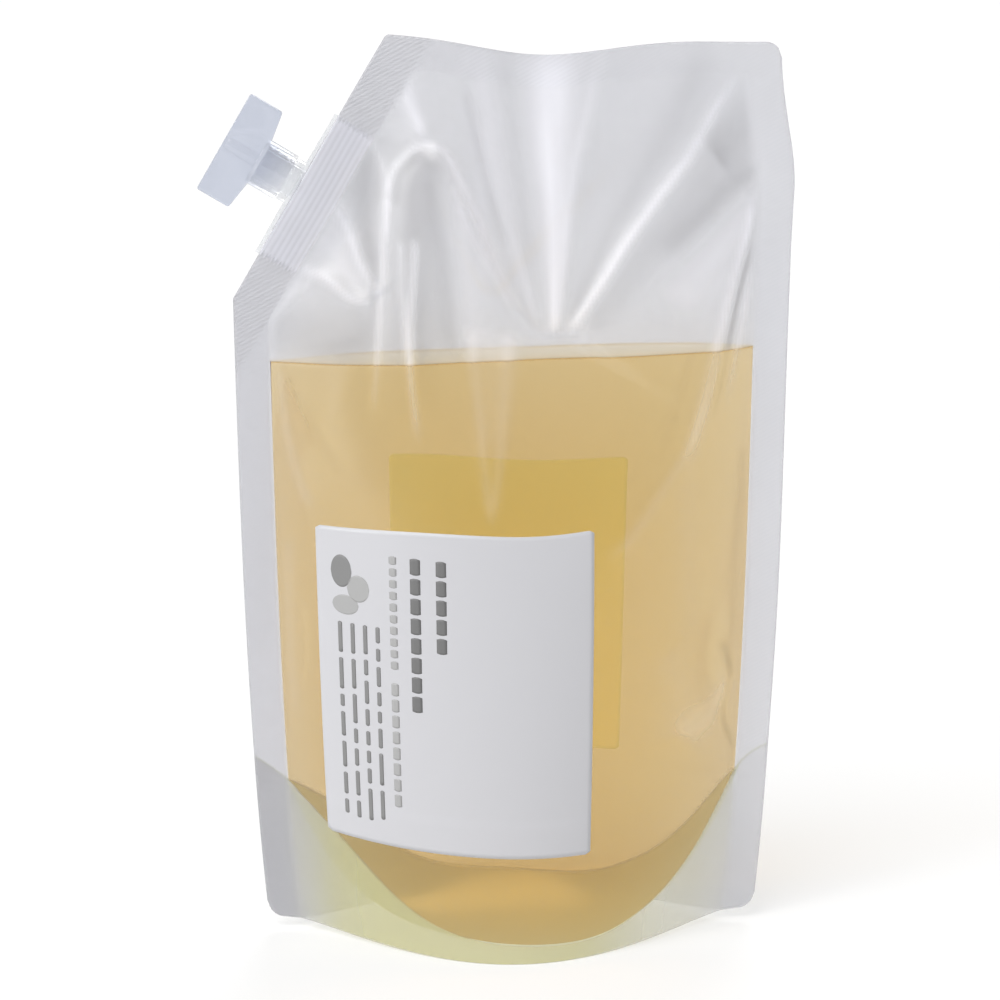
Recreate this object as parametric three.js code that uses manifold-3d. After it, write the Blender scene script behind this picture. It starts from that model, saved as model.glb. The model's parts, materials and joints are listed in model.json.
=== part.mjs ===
// Stand-up refill pouch of liquid hand soap, in millimetres, +Z up.
// Three clear film panels (front, back and a bottom gusset folded like a W) are welded
// together round their edges. A moulded spout is welded into the diagonal cut at the upper
// left, with a wing-handled screw cap on it. Paper labels lie on both panels, and the soap
// fills the pouch to two thirds of its height.
// The origin is the middle of the flat spot under the gusset, X runs along the front,
// and the front panel faces -Y.
import * as THREE from 'three';
import { mergeVertices } from 'three/addons/utils/BufferGeometryUtils.js';
import Module from 'manifold-3d';

const wasm = await Module();
wasm.setup();

// ---- Driving dimensions ------------------------------------------------------------------

const FILM = 0.3;               // film thickness, drawn a little heavier than the real laminate
const GAP = 0.3;                // clearance between neighbouring solids

const FLAT_WIDTH = 160;         // the pouch before filling
const FLAT_HEIGHT = 258;
const SIDE_SEAL = 10;
const TOP_SEAL = 9;
const CORNER_RADIUS = 4.5;
const BASE_WIDTH = 144;         // corner to corner when the base has opened
const OPENING_RUN = 80;         // height over which the width recovers to the flat width
const BELLY = 33;               // half depth of the filled pouch at its base

const EAR_LIFT = 4;             // the bottom corners stand clear of the table
const TOP_HEIGHT = 261;         // highest point of the top seal
const TOP_DIP = 6.2;            // the top seal sags where the panels have caved in
const TOP_DIP_AT = 0.12;        // its place and spread, as shares of the half width
const TOP_DIP_SPREAD = 0.36;
const TOP_RIGHT_DROP = 2.8;     // the right-hand end of the top seal sits lower

const GUSSET_DEPTH = 40;        // height of the gusset fold at the side seals
const GUSSET_WELD = 6;          // height of its curved weld at the middle
const WELD_CURVE = 2.2;         // power by which the weld rises towards the side seals
const FLAT_SPOT = 0.6;          // how far the gusset is pressed flat by the table
const KEEL = { rise: 44, power: 3.8, sag: 2.5 };  // lowest line of the opened gusset

const CUT_LOW = { u: -80, v: 184 };      // ends of the diagonal cut, on the flat film
const CUT_HIGH = { u: -35.5, v: 258 };
const SPOUT_ALONG = 37;                  // distance of the spout's axis from the low end
const BOAT = { length: 44.4, from: -9.9, to: 1.2, tip: 0.7, swell: 4.9, ease: 1.1 };
const COLLAR = { radius: 6.4, to: 3.6 };
const NECK = { radius: 5.7, to: 12 };
const BORE_RADIUS = 4.5;

const SKIRT = { radius: 6.9, bore: 6.05, from: 3.9, roof: 12.3 };
const WING = { length: 30.4, from: 13.8, root: 12.4, to: 24, thickness: 3.2, corner: 0.5 };
const BOSS = { radius: 2.6, to: 23.4 };

const LEVEL = 175;              // height of the soap's surface
const SOAP_EDGE = 0.85;         // the soap reaches this share of the half width
const SOAP_GAP = { wall: 0.4, floor: 0.6, weld: 0.9 };  // clearances from the films

const LABEL = 0.25;             // paper thickness
const LABEL_GAP = 0.36;         // clearance between a label and its panel
const FRONT_LABEL = { left: -59, right: 22, low: 32, high: 124 };
const BACK_LABEL = { left: -37, right: 37, low: 43, high: 136 };

const ROUND = 40;               // segments of a full circle

// ---- Small helpers -----------------------------------------------------------------------

const HALF = FLAT_WIDTH / 2;

function ramp(from, to, steps) {
  return Array.from({ length: steps }, (_, i) => from + ((to - from) * i) / steps);
}

function smooth(edge0, edge1, value) {
  const t = Math.min(1, Math.max(0, (value - edge0) / (edge1 - edge0)));
  return t * t * (3 - 2 * t);
}

// Even steps that grow finer towards both ends.
function graded(steps) {
  return Array.from({ length: steps + 1 }, (_, i) => {
    const t = i / steps;
    return (t + (1 - Math.cos(Math.PI * t)) / 2) / 2;
  });
}

// ---- Shape of the filled pouch -----------------------------------------------------------
// u and v are places on the flat film: u across from the middle, v up from the bottom edge.

function halfWidth(v) {
  return HALF - 0.4 - (HALF - 0.4 - BASE_WIDTH / 2) * Math.exp(-v / OPENING_RUN);
}

function filmX(u, v) {
  return (halfWidth(v) * u) / HALF;
}

function filmZ(u, v) {
  const t = u / HALF;
  const low = EAR_LIFT * Math.abs(t) ** 2.5;
  const dip = TOP_DIP * Math.exp(-(((t - TOP_DIP_AT) / TOP_DIP_SPREAD) ** 2));
  const high = TOP_HEIGHT - dip - TOP_RIGHT_DROP * smooth(0.15, 0.9, t);
  return low + (v / FLAT_HEIGHT) * (high - low);
}

// The film coordinate at which the film reaches height z.
function filmV(u, z) {
  const low = filmZ(u, 0);
  const high = filmZ(u, FLAT_HEIGHT);
  return ((z - low) / (high - low)) * FLAT_HEIGHT;
}

const cutStart = new THREE.Vector2(filmX(CUT_LOW.u, CUT_LOW.v), filmZ(CUT_LOW.u, CUT_LOW.v));
const cutEnd = new THREE.Vector2(filmX(CUT_HIGH.u, CUT_HIGH.v), filmZ(CUT_HIGH.u, CUT_HIGH.v));
const cutAlong = cutEnd.clone().sub(cutStart).normalize();
const cutOut = new THREE.Vector2(-cutAlong.y, cutAlong.x);

// Half the thickness of the spout's welded foot, at a distance from its axis.
function boatHalf(along) {
  const t = Math.min(1, Math.abs(along) / (BOAT.length / 2));
  return BOAT.tip + BOAT.swell * Math.cos((Math.PI / 2) * t) ** 2;
}

// Distance from the middle plane to the inside of either panel.
function halfDepth(u, v) {
  const place = new THREE.Vector2(filmX(u, v), filmZ(u, v)).sub(cutStart);
  const along = place.dot(cutAlong) - SPOUT_ALONG;
  const inward = -place.dot(cutOut);

  const edge = 1 - SIDE_SEAL / HALF;
  const across = Math.max(0, 1 - (u / HALF / edge) ** 2) ** (1 + 0.35 * Math.exp(-v / 25));
  const upward = Math.max(0, 1 - (v / (FLAT_HEIGHT - TOP_SEAL)) ** 2.6) ** 0.9;
  const fromCut = 1 - (1 - Math.min(1, Math.max(0, (inward - 11) / 30))) ** 2;
  const belly = BELLY * across * upward * fromCut;

  const reach = 1 - smooth(BOAT.length / 2 + 3, BOAT.length / 2 + 9, Math.abs(along));
  const grip = 1 - smooth(-BOAT.from + 6, 36, inward);
  const boat = (boatHalf(along) + BOAT.ease) * reach * grip;

  const rest = GAP / 2 + (GAP + FILM) * (1 - smooth(GUSSET_DEPTH + 9, GUSSET_DEPTH + 18, v));
  return rest + Math.cbrt(belly ** 3 + boat ** 3);
}

// The outline of a panel on the flat film: its top edge with the diagonal cut, and both
// edges rounded at the corners.
function cornerDrop(u) {
  const inset = Math.max(0, CORNER_RADIUS - (HALF - Math.abs(u)));
  return CORNER_RADIUS - Math.sqrt(CORNER_RADIUS ** 2 - inset ** 2);
}

function topEdge(u) {
  if (u > 0) return FLAT_HEIGHT - cornerDrop(u);
  const t = Math.min(1, (u - CUT_LOW.u) / (CUT_HIGH.u - CUT_LOW.u));
  return CUT_LOW.v + t * (CUT_HIGH.v - CUT_LOW.v);
}

function gussetWeld(u) {
  const rise = GUSSET_DEPTH - GUSSET_WELD;
  return GUSSET_WELD + rise * Math.min(1, Math.abs(u) / (HALF - SIDE_SEAL)) ** WELD_CURVE;
}

// The lowest line of the gusset between its front and back welds. It falls below the table
// where the gusset is pressed flat.
function keel(u, weldZ) {
  const t = Math.abs(u) / (HALF - SIDE_SEAL);
  return Math.min(KEEL.rise * t ** KEEL.power - FLAT_SPOT, weldZ);
}

// Height of a face that hangs between the welds, above a keel and never below a floor:
// share runs from -1 to 1 across.
function hammock(keelZ, weldZ, share, floor) {
  return Math.max(floor, keelZ + (weldZ - keelZ) * Math.abs(share) ** KEEL.sag);
}

// ---- Solids from sections ----------------------------------------------------------------

// A closed solid through a row of closed loops with equal, even numbers of points. The first
// half of a loop runs opposite its second half, and the end loops are filled between them.
// Both halves are split along the same diagonals, so that a thin wall keeps its thickness.
function loft(loops) {
  const count = loops[0].length;
  const index = [];
  const quad = (a, b, c, d) => index.push(a, b, c, a, c, d);
  for (let i = 0; i + 1 < loops.length; i++) {
    for (let j = 0; j < count; j++) {
      const a = i * count + j;
      const b = i * count + ((j + 1) % count);
      if (j < count / 2) quad(a, b, b + count, a + count);
      else quad(b, b + count, a + count, a);
    }
  }
  const last = (loops.length - 1) * count;
  for (let j = 0; j + 1 < count / 2; j++) {
    quad(count - 1 - j, count - 2 - j, j + 1, j);
    quad(last + j, last + j + 1, last + count - 2 - j, last + count - 1 - j);
  }
  const geometry = new THREE.BufferGeometry();
  const places = loops.flat().flatMap((p) => [p.x, p.y, p.z]);
  geometry.setAttribute('position', new THREE.Float32BufferAttribute(places, 3));
  geometry.setIndex(index);
  return facingOut(geometry);
}

// Turns every face over if they face inwards.
function facingOut(geometry) {
  const places = geometry.getAttribute('position');
  const index = geometry.getIndex().array;
  const corner = (k) => new THREE.Vector3().fromBufferAttribute(places, index[k]);
  let volume = 0;
  for (let i = 0; i < index.length; i += 3) {
    volume += corner(i).dot(corner(i + 1).cross(corner(i + 2)));
  }
  if (volume < 0) geometry.setIndex(Array.from(index).reverse());
  geometry.computeVertexNormals();
  return geometry;
}

function point(u, v, y) {
  return new THREE.Vector3(filmX(u, v), y, filmZ(u, v));
}

// ---- Joining and cutting -----------------------------------------------------------------

function solid(geometry, move = [0, 0, 0]) {
  const bare = geometry.clone().translate(...move);
  bare.deleteAttribute('normal');
  bare.deleteAttribute('uv');
  const merged = mergeVertices(bare, 1e-4);
  return new wasm.Manifold(new wasm.Mesh({
    numProp: 3,
    vertProperties: new Float32Array(merged.getAttribute('position').array),
    triVerts: new Uint32Array(merged.getIndex().array),
  }));
}

function fromSolid(body) {
  const mesh = body.getMesh();
  const geometry = new THREE.BufferGeometry();
  geometry.setAttribute('position', new THREE.Float32BufferAttribute(mesh.vertProperties, 3));
  geometry.setIndex(Array.from(mesh.triVerts));
  geometry.computeVertexNormals();
  return geometry;
}

// A round solid on the spout's axis, between two heights.
function rod(radius, from, to) {
  const cylinder = new THREE.CylinderGeometry(radius, radius, to - from, ROUND);
  return solid(cylinder.rotateX(Math.PI / 2), [0, 0, (from + to) / 2]);
}

// ---- The pieces --------------------------------------------------------------------------

// Columns shared by all the films, finer at the seals and round the spout.
const COLUMNS = [
  ...ramp(-HALF, -HALF + 5, 3),
  ...ramp(-HALF + 5, CUT_HIGH.u, 11),
  ...ramp(CUT_HIGH.u, 50, 10),
  ...ramp(50, HALF - 5, 6),
  ...ramp(HALF - 5, HALF, 3),
  HALF,
];

// Places across the gusset between its middle and its weld, as shares of the half span.
const SPAN = [0.2, 0.4, 0.62, 0.8, 0.93];

// side is -1 for the front panel and 1 for the back one.
function panel(side) {
  const shares = graded(20);
  const loops = COLUMNS.map((u) => {
    const low = cornerDrop(u);
    const rows = shares.map((s) => low + s * (topEdge(u) - low));
    const inner = rows.map((v) => point(u, v, side * halfDepth(u, v)));
    const outer = rows.map((v) => point(u, v, side * (halfDepth(u, v) + FILM)));
    return [...inner, ...outer.reverse()];
  });
  return loft(loops);
}

function gusset() {
  const inset = HALF - 0.5;
  const columns = [-inset, ...COLUMNS.slice(1, -1), inset];
  const flapShares = [0, 0.33, 0.67, 1];
  const spanShares = [...SPAN.map((share) => -share).reverse(), 0, ...SPAN];
  const loops = columns.map((u) => {
    const low = cornerDrop(u);
    const weld = gussetWeld(u);
    const keelZ = keel(u, filmZ(u, weld) - FILM);
    const section = (top, inset, floor) => {
      const flap = (side) => flapShares.map((s) => {
        const v = low + s * (top - low);
        return point(u, v, side * (halfDepth(u, v) - inset));
      });
      const reach = halfDepth(u, top) - inset;
      const weldZ = filmZ(u, top);
      const span = spanShares.map((share) => {
        const z = hammock(Math.min(keelZ + floor, weldZ), weldZ, share, floor);
        return new THREE.Vector3(filmX(u, top), share * reach, z);
      });
      return [...flap(-1), ...span, ...flap(1).reverse()];
    };
    // The lower face starts further down where the film hangs steeply from its weld, so
    // that the film is as thick there as on its flaps.
    const steep = (KEEL.sag * (filmZ(u, weld) - FILM - keelZ)) / (halfDepth(u, weld) - GAP);
    const drop = FILM * (steep + Math.hypot(1, steep));
    const upper = section(weld, GAP, FILM);
    const lower = section(Math.max(low + FILM, weld - drop), GAP + FILM, 0);
    return [...upper, ...lower.reverse()];
  });
  return loft(loops);
}

function soap() {
  const edge = SOAP_EDGE * HALF;
  const columns = [-edge, ...COLUMNS.filter((u) => Math.abs(u) < edge - 1), edge];
  const rise = graded(12);
  const loops = columns.map((u) => {
    const low = gussetWeld(u) + SOAP_GAP.weld;
    const high = filmV(u, LEVEL);
    const wall = (side) => rise.map((s) => {
      const v = low + s * (high - low);
      return point(u, v, side * (halfDepth(u, v) - SOAP_GAP.wall));
    });
    const weldZ = filmZ(u, gussetWeld(u));
    const keelZ = keel(u, weldZ - FILM);
    const reach = halfDepth(u, low) - SOAP_GAP.wall;
    const floor = (side) => SPAN.map((share) => {
      const z = hammock(keelZ + FILM, weldZ, share, FILM) + SOAP_GAP.floor;
      return new THREE.Vector3(filmX(u, low), side * share * reach, z);
    });
    return [...floor(-1), ...wall(-1), ...wall(1).reverse(), ...floor(1).reverse()];
  });
  return loft(loops);
}

function label(side, place) {
  const columns = [...ramp(place.left, place.right, 10), place.right];
  const rows = [...ramp(place.low, place.high, 10), place.high];
  const loops = columns.map((u) => {
    const away = FILM + LABEL_GAP;
    const inner = rows.map((v) => point(u, v, side * (halfDepth(u, v) + away)));
    const outer = rows.map((v) => point(u, v, side * (halfDepth(u, v) + away + LABEL)));
    return [...inner, ...outer.reverse()];
  });
  return loft(loops);
}

// Foot, collar and neck of the spout in one moulding, bored through. Local Z is the axis,
// pointing out of the pouch, and local X runs along the diagonal cut.
function spout() {
  const half = BOAT.length / 2;
  const steps = 24;
  const outline = [];
  for (let i = 0; i <= steps; i++) {
    const x = -half + (BOAT.length * i) / steps;
    outline.push(new THREE.Vector2(x, -boatHalf(x)));
  }
  for (let i = steps; i >= 0; i--) {
    const x = -half + (BOAT.length * i) / steps;
    outline.push(new THREE.Vector2(x, boatHalf(x)));
  }
  const depth = BOAT.to - BOAT.from;
  const foot = new THREE.ExtrudeGeometry(new THREE.Shape(outline), { depth, bevelEnabled: false });
  const body = solid(foot, [0, 0, BOAT.from])
    .add(rod(COLLAR.radius, BOAT.to - FILM, COLLAR.to))
    .add(rod(NECK.radius, COLLAR.to - FILM, NECK.to))
    .subtract(rod(BORE_RADIUS, BOAT.from - 1, NECK.to + 1));
  return fromSolid(body);
}

// Screw skirt and wing handle in one moulding, in the spout's local frame. Each wing grows
// wider along the axis towards its root.
function cap() {
  const half = WING.length / 2;
  const { corner, to } = WING;
  const wing = new THREE.Shape();
  wing.moveTo(-SKIRT.radius, WING.root);
  wing.lineTo(SKIRT.radius, WING.root);
  wing.lineTo(half, WING.from);
  wing.lineTo(half, to - corner);
  wing.quadraticCurveTo(half, to, half - corner, to);
  wing.lineTo(-half + corner, to);
  wing.quadraticCurveTo(-half, to, -half, to - corner);
  wing.lineTo(-half, WING.from);
  const plate = new THREE.ExtrudeGeometry(wing, {
    depth: WING.thickness, bevelEnabled: false, curveSegments: 5,
  });
  plate.rotateX(Math.PI / 2);
  const body = solid(plate, [0, WING.thickness / 2, 0])
    .add(rod(SKIRT.radius, SKIRT.from, WING.root + 1))
    .add(rod(BOSS.radius, WING.root, BOSS.to))
    .subtract(rod(SKIRT.bore, SKIRT.from - 1, SKIRT.roof));
  return fromSolid(body);
}

// ---- Scene graph -------------------------------------------------------------------------

function piece(name, geometry, color, roughness) {
  const material = new THREE.MeshStandardMaterial({ color, roughness, metalness: 0 });
  const mesh = new THREE.Mesh(geometry, material);
  mesh.name = name;
  return mesh;
}

const pouch = new THREE.Group();
pouch.add(
  piece('front_panel', panel(-1), '#d8dade', 0.25),
  piece('back_panel', panel(1), '#d8dade', 0.25),
  piece('bottom_gusset', gusset(), '#d6d7d4', 0.3),
  piece('liquid_soap', soap(), '#d8b45c', 0.1),
  piece('front_label', label(-1, FRONT_LABEL), '#f0f0f0', 0.6),
  piece('back_label', label(1, BACK_LABEL), '#f0f0f0', 0.6),
);

const spoutFrame = new THREE.Group();
const seat = cutAlong.clone().multiplyScalar(SPOUT_ALONG).add(cutStart);
spoutFrame.position.set(seat.x, 0, seat.y);
spoutFrame.rotation.y = Math.atan2(cutOut.x, cutOut.y);
spoutFrame.add(
  piece('spout_fitment', spout(), '#cfd6e2', 0.2),
  piece('twist_cap', cap(), '#c8d2e4', 0.2),
);
pouch.add(spoutFrame);

export default pouch;
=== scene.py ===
"""Looks of a clear stand-up refill pouch of amber hand soap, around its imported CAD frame.

Lengths in the shape functions are millimetres, and make_object() turns them into metres.
u and v are places on a flat film panel: u across from its middle, v up from its bottom edge.
"""
import json
import math
import random

import bmesh
import bpy
import numpy as np
from mathutils import Matrix, Vector


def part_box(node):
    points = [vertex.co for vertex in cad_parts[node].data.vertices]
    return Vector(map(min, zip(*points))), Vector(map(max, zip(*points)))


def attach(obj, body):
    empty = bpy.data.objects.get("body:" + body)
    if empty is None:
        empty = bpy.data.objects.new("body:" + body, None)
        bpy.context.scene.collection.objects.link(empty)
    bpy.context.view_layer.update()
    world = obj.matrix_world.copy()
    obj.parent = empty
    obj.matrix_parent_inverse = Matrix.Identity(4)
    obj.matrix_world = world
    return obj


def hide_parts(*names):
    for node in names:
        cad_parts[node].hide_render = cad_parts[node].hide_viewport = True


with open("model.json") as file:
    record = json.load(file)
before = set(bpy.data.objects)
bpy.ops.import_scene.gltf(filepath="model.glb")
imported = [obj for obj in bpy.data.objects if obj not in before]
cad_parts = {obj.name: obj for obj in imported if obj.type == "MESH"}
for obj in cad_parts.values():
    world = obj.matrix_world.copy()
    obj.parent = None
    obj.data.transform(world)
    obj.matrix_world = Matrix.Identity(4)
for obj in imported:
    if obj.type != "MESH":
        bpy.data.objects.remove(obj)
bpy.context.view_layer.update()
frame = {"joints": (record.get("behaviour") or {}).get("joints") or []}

MM = 0.001

# ---- Driving sizes, from the frame ----

panel_low, panel_high = (np.array(corner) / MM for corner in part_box("front_panel"))
soap_high = np.array(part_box("liquid_soap")[1]) / MM
joint = frame["joints"][0]
AXIS = np.array(joint["axis"])                  # the spout's axis, out of the pouch
SEAT = np.array(joint["pos_m"]) / MM            # where the axis crosses the cut edge

HALF = 80.0                  # half the width of the flat film
HEIGHT = 258.0               # its height
BASE_HALF = 72.0             # half the width across the opened base
EDGE_HALF = panel_high[0] + 0.3         # half the width of the filled pouch at its seals
BELLY = -panel_low[1] - 1.0  # half depth of the filled base
LEVEL_MIDDLE = soap_high[2] - 4.0       # height of the soap's surface at the pouch's middle
LEVEL_LEAN = 0.024           # how much it rises for each millimetre to the right
FILM = 0.14                  # film thickness
SIDE_SEAL, TOP_SEAL, CUT_SEAL = 10.0, 9.0, 11.5
GUSSET_DEPTH = 40.0          # height of the gusset's fold at the side seals
CORNER = 4.5                 # radius of the film's corners
CUT_LOW, CUT_HIGH = (-80.0, 184.0), (-35.5, 258.0)     # ends of the diagonal cut on the film
BOAT_LENGTH, BOAT_FROM, BOAT_TO = 44.4, -9.9, 1.2      # the spout's welded foot, on its axis

COLUMNS, ROWS = 168, 250     # points of each film panel, across and up
GUSSET_COLUMNS, FLAP_ROWS, SPAN_ROWS = 150, 24, 43     # of the gusset, its flaps and its span

HATCH_PITCH, RIB_PITCH = 0.0011, 0.0016      # of the seal's hatching and the foot's ribs, metres
HATCH_ACROSS = (-math.sin(math.radians(28)), 0.0, math.cos(math.radians(28)))
COLLAR_RADIUS, COLLAR_TO = 6.4, 3.6
NECK_RADIUS, NECK_TO = 5.7, 12.0
BORE_RADIUS = 4.5
THREAD_PITCH, THREAD_RISE, THREAD_FROM, THREAD_TO = 2.4, 0.55, 5.0, 11.0
SKIRT_RADIUS, SKIRT_BORE, SKIRT_FROM, SKIRT_ROOF = 6.9, 6.05, 3.9, 12.3
WING_HALF, WING_TIP, WING_ROOT, WING_TO, WING_THICK = 15.2, 13.8, 12.4, 24.0, 3.2
BOSS_RADIUS, BOSS_TO = 2.6, 23.4
FRONT_LABEL = (-58.0, 22.0, 32.0, 124.0)     # left, right, low and high on the film
BACK_LABEL = (-36.0, 36.0, 45.0, 137.0)
FRONT_LABEL_RISE = 4.0       # how much higher its top right corner is than its top left one
PAPER_LIFT, PAPER = 0.05, 0.12          # gap under a label, and its thickness
INK_LIFT, INK = 0.19, 0.02              # the same for the print on it


# ---- Numbers ----

def smooth(low, high, value):
    """0 below low, 1 above high, and a smooth step between them."""
    t = np.clip((value - low) / (high - low), 0.0, 1.0)
    return t * t * (3.0 - 2.0 * t)


def bump(value, centre, spread):
    return np.exp(-((value - centre) / spread) ** 2)


def route(points, steps=8):
    """A smooth path through a few points, as a Catmull-Rom curve."""
    p = np.array(points, float)
    p = np.vstack([2 * p[0] - p[1], p, 2 * p[-1] - p[-2]])
    t = np.linspace(0, 1, steps, endpoint=False)[:, None]
    parts = []
    for a, b, c, d in zip(p, p[1:], p[2:], p[3:]):
        parts.append(0.5 * (2 * b + (c - a) * t + (2 * a - 5 * b + 4 * c - d) * t**2
                            + (3 * b - a - 3 * c + d) * t**3))
    return np.vstack([*parts, p[-2]])


def measure(path, u, v):
    """Distance of each place from a path, positive on its right, and the share of its length."""
    lengths = np.linalg.norm(np.diff(path, axis=0), axis=1)
    starts = np.concatenate([[0], np.cumsum(lengths)])
    best = np.full(u.shape, 1e9)
    signed, share = np.zeros(u.shape), np.zeros(u.shape)
    for (a, b), length, start in zip(zip(path, path[1:]), lengths, starts):
        du, dv = (b - a) / length
        along = np.clip((u - a[0]) * du + (v - a[1]) * dv, 0, length)
        off_u, off_v = u - a[0] - along * du, v - a[1] - along * dv
        distance = np.hypot(off_u, off_v)
        near = distance < best
        best = np.where(near, distance, best)
        side = np.where(off_u * dv - off_v * du >= 0, 1.0, -1.0)
        signed = np.where(near, side * distance, signed)
        share = np.where(near, (start + along) / starts[-1], share)
    return signed, share


# ---- Shape of the filled pouch ----

def film_x(u, v):
    """Where a place is across the pouch, which is narrower at its opened base."""
    width = EDGE_HALF - (EDGE_HALF - BASE_HALF) * np.exp(-v / 80.0)
    lean = 4.0 * smooth(216, 256, v) * smooth(35, 80, u)
    return width * u / HALF - lean


def film_z(u, v):
    """Its height: the lower edge turns up at its ends, and the top edge dips by the middle."""
    t = u / HALF
    low = 4.0 * np.abs(t) ** 2.5
    dip = 6.2 * bump(t, 0.12, 0.36)
    high = 261.0 - dip - 2.8 * smooth(0.15, 0.9, t)
    return low + v / HEIGHT * (high - low)


def film_v(u, z):
    """The place up the film that is at a given height."""
    low, high = film_z(u, np.zeros_like(u)), film_z(u, np.full_like(u, HEIGHT))
    return (z - low) / (high - low) * HEIGHT


def cut_place(u, v):
    """Distances along the diagonal cut from the spout's axis, and inwards from the cut."""
    x, z = film_x(u, v) - SEAT[0], film_z(u, v) - SEAT[2]
    return x * AXIS[2] - z * AXIS[0], -(x * AXIS[0] + z * AXIS[2])


def boat_half(along):
    """Half thickness of the spout's welded foot."""
    t = np.minimum(1.0, np.abs(along) / (BOAT_LENGTH / 2))
    return 0.7 + 4.9 * np.cos(math.pi / 2 * t) ** 2


def middle(u, v):
    """How far the sealed edges wave out of the flat middle plane; still at the spout."""
    free = smooth(-38, -10, u)
    top = 2.6 * np.sin((u - 8) / 27.0) * smooth(205, 258, v) * free
    kink = 3.0 * bump(v, 222, 13) * smooth(58, 80, u)
    right = 0.8 * np.sin(v / 21.0) * smooth(60, 80, u) * smooth(30, 60, v)
    left = 0.7 * np.sin(v / 26.0) * smooth(60, 80, -u) * smooth(30, 60, v) * (1 - smooth(120, 165, v))
    return top - kink + right + left


def base_depth(u, v):
    """Half depth of the smooth pouch inside its seals, and of the swell round the spout."""
    along, inward = cut_place(u, v)
    edge = 1 - SIDE_SEAL / HALF
    power = 0.86 + 0.5 * np.exp(-v / 22.0)
    across = np.maximum(0, 1 - (u / HALF / edge) ** 2) ** power
    upward = np.maximum(0, 1 - (v / (HEIGHT - TOP_SEAL)) ** 2.6) ** 0.9
    from_cut = 1 - (1 - np.clip((inward - CUT_SEAL) / 30, 0, 1)) ** 2
    belly = BELLY * across * upward * from_cut
    reach = 1 - smooth(BOAT_LENGTH / 2 + 0.5, BOAT_LENGTH / 2 + 6, np.abs(along))
    grip = 1 - smooth(-BOAT_FROM + 0.8, 30, inward)
    return belly, (boat_half(along) + 0.15) * reach * grip


# The weld between panel and gusset, from the left side seal to the right one.
WELD_LINE = route([(-81, 50), (-70, 43), (-54, 31), (-38, 17), (-24, 9.5), (-5, 6), (24, 5.5),
                   (42, 12), (56, 24), (71, 46), (81, 52)])


def weld_height(u):
    """How far up the film the gusset is welded to it."""
    return np.interp(u, *WELD_LINE.T)


CREASE = 1.7                 # radius of the film along its sharpest folds

# A fold is a route on the film with its height, its width, and the shares of its length over
# which it fades in and out. A "ridge" falls away evenly on both sides, and a "pleat" swells
# on the right of its route.
ARCH = [(-41, 150), (-39, 173), (-37, 198), (-35, 217), (-31, 225), (-25, 229), (-19, 227),
        (-13, 216), (-4, 197), (5, 179)]
VALLEY_RIDGE = [(14, 178), (24, 192), (32, 204), (41, 216), (50, 227), (59, 240), (69, 251)]
FRONT_FOLDS = [
    ("pleat", ARCH, 2.2, 7.0, 0.25, 0.1),
    ("ridge", [(-37, 252), (-30, 240), (-24, 230)], 1.0, 3.0, 0.3, 0.2),
    ("pleat", VALLEY_RIDGE, 2.0, 8.0, 0.05, 0.3),
    ("ridge", [(12, 179), (11, 203), (11, 233), (10, 248)], 2.2, 4.5, 0.02, 0.35),
    ("ridge", [(11, 180), (-1, 210), (-8, 246)], 1.0, 3.0, 0.2, 0.3),
    ("ridge", [(12, 182), (17, 223), (26, 246)], 1.0, 3.0, 0.2, 0.3),
    ("ridge", [(78, 221), (72, 220), (64, 215), (52, 206), (42, 193)], 1.6, 4.0, 0.1, 0.5),
    ("ridge", [(71, 218), (67, 205), (61, 180), (53, 150), (50, 136)], 1.4, 3.2, 0.1, 0.3),
    ("ridge", [(62, 172), (52, 149), (42, 134), (31, 121), (23, 119)], 1.0, 3.2, 0.3, 0.15),
    ("ridge", [(-13, 178), (-10, 152), (-8, 129)], 0.8, 3.2, 0.15, 0.3),
    ("ridge", [(-1, 180), (-4, 152), (-8, 129)], 0.8, 3.2, 0.15, 0.3),
    ("ridge", [(-29, 214), (-29, 185), (-28, 160), (-26, 140)], 0.8, 2.6, 0.4, 0.4),
    ("ridge", [(-68, 162), (-63, 140), (-55, 122)], 1.2, 3.0, 0.2, 0.3),
    ("ridge", [(-51, 212), (-47, 205), (-43, 195), (-38, 187)], 1.4, 2.6, 0.15, 0.05),
    ("ridge", [(-40, 186), (-46, 186), (-54, 191), (-63, 194)], 1.4, 2.4, 0.02, 0.4),
    ("ridge", [(63, 86), (66, 74), (64, 64), (68, 54), (72, 48)], -0.6, 1.6, 0.2, 0.1),
    ("ridge", [(63, 66), (57, 66), (52, 58)], 0.8, 5.0, 0.3, 0.4),
]
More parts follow.
